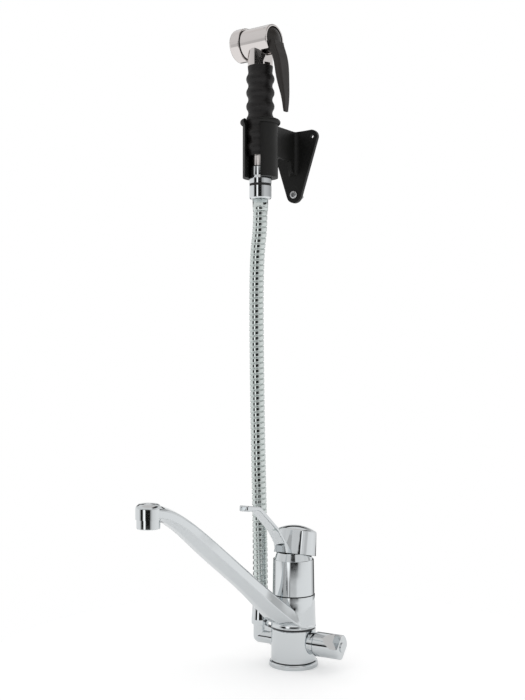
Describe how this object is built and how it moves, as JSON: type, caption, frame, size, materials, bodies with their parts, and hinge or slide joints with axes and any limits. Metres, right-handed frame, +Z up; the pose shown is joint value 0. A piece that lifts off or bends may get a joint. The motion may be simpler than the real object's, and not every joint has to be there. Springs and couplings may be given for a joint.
{
  "type": "single-lever sink mixer with wall-held trigger spray",
  "caption": "Single-lever sink mixer with a swivel spout and a side valve that feeds a trigger spray on a ribbed hose, held by a wall bracket.",
  "frame": {"origin": "centre of the tap's base on the deck", "axes": "+Z up; front of the sink at -Y, wall at +Y; side valve along +X, hose and spray on the -X side"},
  "size_m": [0.1259, 0.2824, 0.6613],
  "materials": {
    "chrome": "polished",
    "hose_steel": "polished",
    "black_plastic": "satin",
    "grip_rubber": "matte",
    "black_rubber": "matte",
    "dark_polymer": "satin",
    "grey_polymer": "satin",
    "ceramic": "gloss",
    "brass": "machined",
    "steel": "satin"
  },
  "bodies": {
    "root": {"base_gasket": "black_rubber", "base_flange": "chrome", "lower_body": "chrome", "body_seal": "black_rubber", "spout_slide_ring": "dark_polymer", "lower_spout_oring": "black_rubber", "upper_spout_oring": "black_rubber", "spout_top_ring": "dark_polymer", "upper_body": "chrome", "collar_ring": "chrome", "cartridge_base_seal": "black_rubber", "cartridge_housing": "dark_polymer", "cartridge_fixed_disc": "ceramic", "cartridge_nut": "brass", "valve_headwork": "chrome", "outlet_elbow": "chrome", "elbow_oring": "black_rubber", "lower_hose_washer": "black_rubber", "lower_hose_ferrule": "brass", "lower_hose_nut": "chrome", "hose": "hose_steel", "spray_holder": "black_plastic", "lower_wall_screw": "steel"},
    "spout_body": {"spout": "chrome", "aerator_housing": "chrome", "aerator_insert": "grey_polymer", "aerator_washer": "black_rubber"},
    "cartridge_turn": {"cartridge_rotor": "dark_polymer", "stem_pin": "steel"},
    "mixing_disc": {"cartridge_moving_disc": "ceramic"},
    "lever": {"lever_stem": "steel", "handle": "chrome", "handle_grub_screw": "steel", "handle_plug": "black_rubber"},
    "knob": {"valve_spindle": "brass", "spindle_oring": "black_rubber", "valve_disc": "ceramic", "valve_knob": "chrome", "knob_screw": "steel", "knob_cap": "chrome"},
    "hose_end": {"upper_hose_ferrule": "brass", "upper_hose_washer": "black_rubber", "upper_hose_nut": "chrome", "connector_seal_ring": "black_rubber", "spray_connector": "chrome", "swivel_oring": "black_rubber"},
    "handset": {"handset_body": "chrome", "rubber_grip": "grip_rubber", "head_oring": "black_rubber", "nozzle_ring": "chrome", "spray_face": "grey_polymer", "trigger_pin": "steel"},
    "trigger_body": {"trigger": "black_plastic"},
    "plunger": {"valve_plunger": "steel", "plunger_seal": "black_rubber", "plunger_spring": "steel"}
  },
  "joints": [
    {"name": "spout_swivel", "type": "hinge", "parent": "root", "child": "spout_body", "pos_m": [0, 0, 0.056], "axis": [0, 0, 1], "range_deg": [-33, 107]},
    {"name": "lever_turn", "type": "hinge", "parent": "root", "child": "cartridge_turn", "pos_m": [0, 0, 0.1], "axis": [0, 0, 1], "range_deg": [-45, 45]},
    {"name": "lever_lift", "type": "hinge", "parent": "cartridge_turn", "child": "lever", "pos_m": [0, 0, 0.1], "axis": [-1, 0, 0], "range_deg": [0, 25]},
    {"name": "disc_slide", "type": "slide", "parent": "cartridge_turn", "child": "mixing_disc", "axis": [0, -1, 0], "range_m": [0, 0.0048]},
    {"name": "valve_turn", "type": "hinge", "parent": "root", "child": "knob", "pos_m": [0.04, 0, 0.0245], "axis": [1, 0, 0], "range_deg": [0, 90]},
    {"name": "spray_lift", "type": "slide", "parent": "root", "child": "hose_end", "axis": [0, 0, 1], "range_m": [0, 0.04], "deforming": ["hose"]},
    {"name": "spray_swivel", "type": "hinge", "parent": "hose_end", "child": "handset", "pos_m": [-0.0393, 0, 0.52], "axis": [0, 0, 1], "continuous": true},
    {"name": "trigger_squeeze", "type": "hinge", "parent": "handset", "child": "trigger_body", "pos_m": [-0.02491, -0.00177, 0.6523], "axis": [0.1219, 0.9925, 0], "range_deg": [0, 8], "stiffness_Nm_per_rad": 0.5, "springref_deg": -5.73},
    {"name": "plunger_slide", "type": "slide", "parent": "handset", "child": "plunger", "axis": [-0.9925, 0.1219, 0], "range_m": [0, 0.0012]}
  ],
  "couplings": [
    {"joint": "disc_slide", "follows": "lever_lift", "m_per_rad": 0.0107},
    {"joint": "plunger_slide", "follows": "trigger_squeeze", "m_per_rad": 0.0085}
  ]
}
